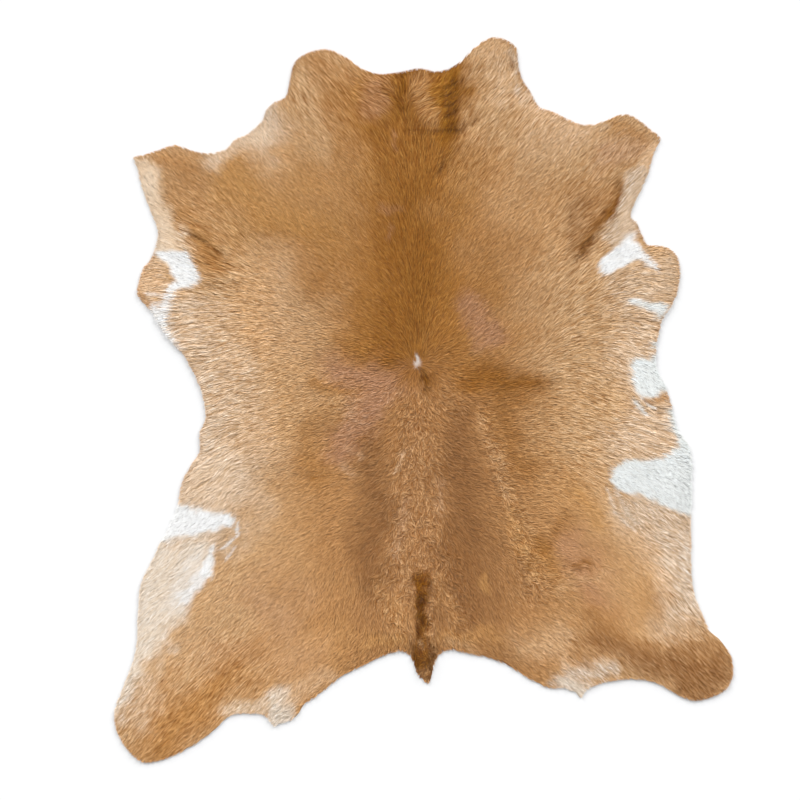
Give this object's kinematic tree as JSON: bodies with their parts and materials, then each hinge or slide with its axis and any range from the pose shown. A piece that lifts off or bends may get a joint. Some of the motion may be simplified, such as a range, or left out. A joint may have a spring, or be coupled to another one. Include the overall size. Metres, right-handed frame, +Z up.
{
  "type": "cowhide rug",
  "caption": "Whole cowhide rug lying flat: neck, leg and tail lobes, tan coat with pale rims and white patches, flat skin underside.",
  "frame": {"origin": "under the middle of the hide's bounding box, in the plane of its flat underside", "axes": "+Y towards the neck, along the spine; +X to the hide's right side as seen from above with the neck away from the viewer; +Z up, out of the hair side"},
  "size_m": [1.794, 2.101, 0.0184],
  "materials": {
    "hair": "short glossy lying hair, tan, darker along the back, pale at the rims, with white patches",
    "skin": "matt suede underside and cut edge"
  },
  "bodies": {
    "root": {"hide": "hair"}
  },
  "joints": []
}
